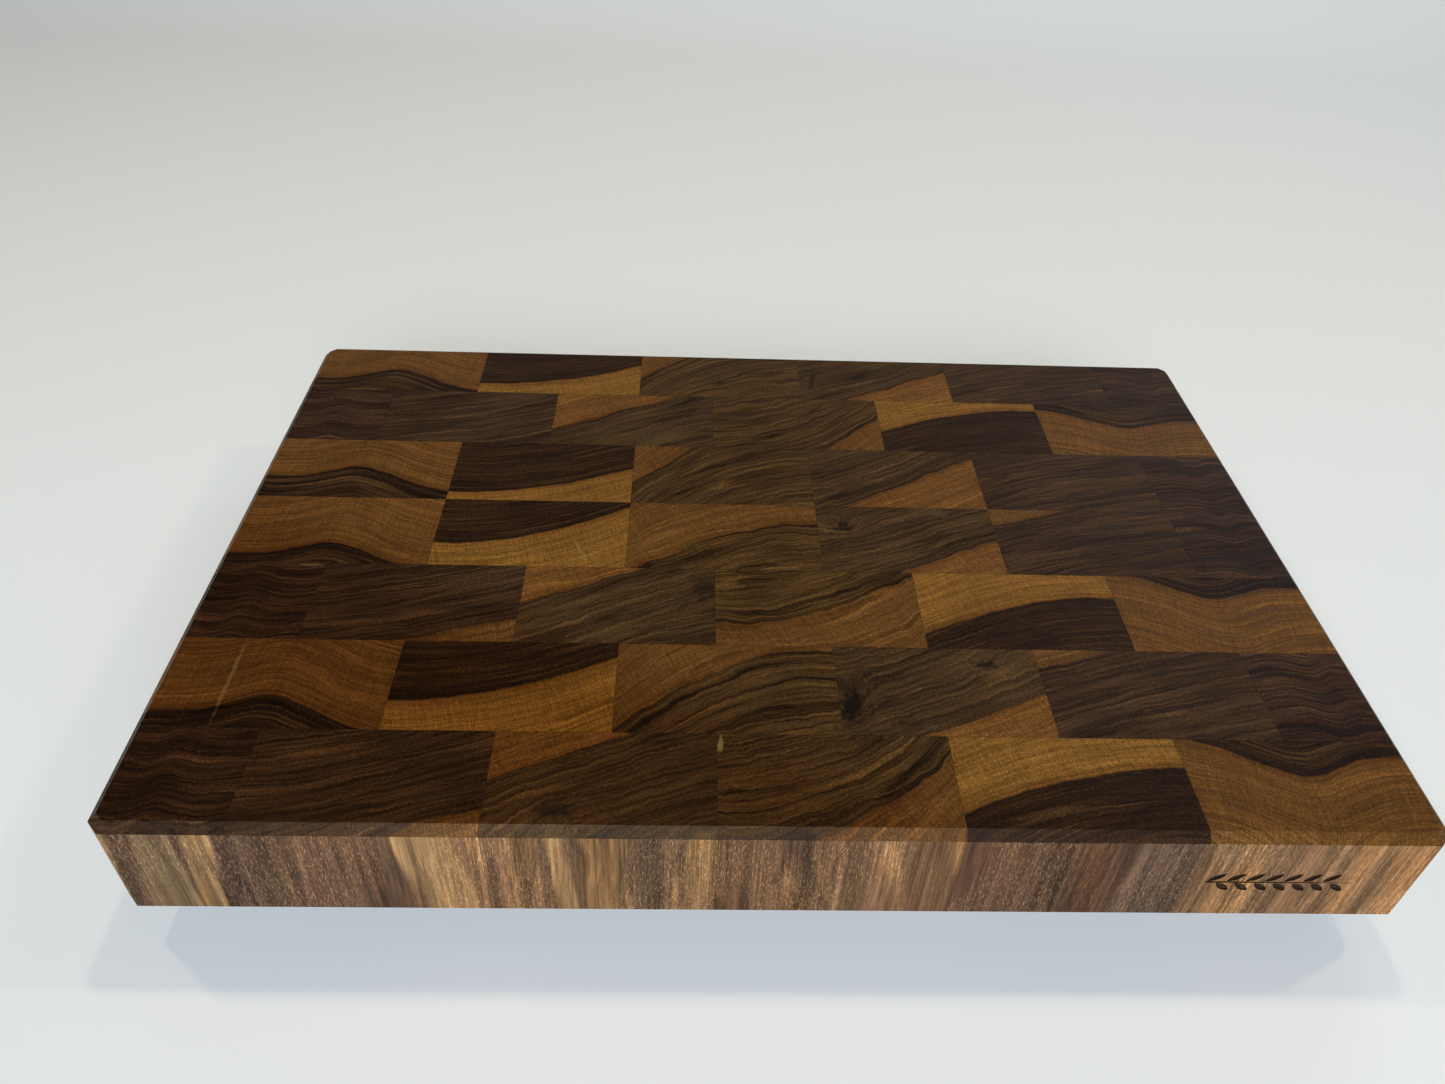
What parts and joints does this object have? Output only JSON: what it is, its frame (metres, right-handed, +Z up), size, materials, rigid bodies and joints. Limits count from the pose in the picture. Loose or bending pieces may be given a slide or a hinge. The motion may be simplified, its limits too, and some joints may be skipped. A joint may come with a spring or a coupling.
{
  "type": "end-grain cutting board",
  "caption": "Thick rectangular end-grain walnut cutting board of glued upright blocks in staggered rows, on tapered rubber feet screwed to its underside.",
  "frame": {"origin": "under the middle of the board, on the plane that its feet stand on", "axes": "+X along the length, left to right as seen from the front, +Y from front to back, +Z up; the engraved sprig is at the right of the front face"},
  "size_m": [0.4572, 0.3048, 0.0658],
  "materials": {
    "walnut": "oiled satin",
    "rubber": "matte",
    "fastener_steel": "satin"
  },
  "bodies": {
    "root": {"row_1_block_1": "walnut", "row_1_block_2": "walnut", "row_1_block_3": "walnut", "row_1_block_4": "walnut", "row_1_block_5": "walnut", "row_1_block_6": "walnut", "row_2_block_1": "walnut", "row_2_block_2": "walnut", "row_2_block_3": "walnut", "row_2_block_4": "walnut", "row_2_block_5": "walnut", "row_2_block_6": "walnut", "row_3_block_1": "walnut", "row_3_block_2": "walnut", "row_3_block_3": "walnut", "row_3_block_4": "walnut", "row_3_block_5": "walnut", "row_3_block_6": "walnut", "row_4_block_1": "walnut", "row_4_block_2": "walnut", "row_4_block_3": "walnut", "row_4_block_4": "walnut", "row_4_block_5": "walnut", "row_4_block_6": "walnut", "row_5_block_1": "walnut", "row_5_block_2": "walnut", "row_5_block_3": "walnut", "row_5_block_4": "walnut", "row_5_block_5": "walnut", "row_5_block_6": "walnut", "row_6_block_1": "walnut", "row_6_block_2": "walnut", "row_6_block_3": "walnut", "row_6_block_4": "walnut", "row_6_block_5": "walnut", "row_6_block_6": "walnut", "row_7_block_1": "walnut", "row_7_block_2": "walnut", "row_7_block_3": "walnut", "row_7_block_4": "walnut", "row_7_block_5": "walnut", "row_7_block_6": "walnut", "foot_front_left": "rubber", "foot_front_right": "rubber", "foot_back_left": "rubber", "foot_back_right": "rubber", "foot_washers": "fastener_steel", "foot_screws": "fastener_steel"}
  },
  "joints": []
}
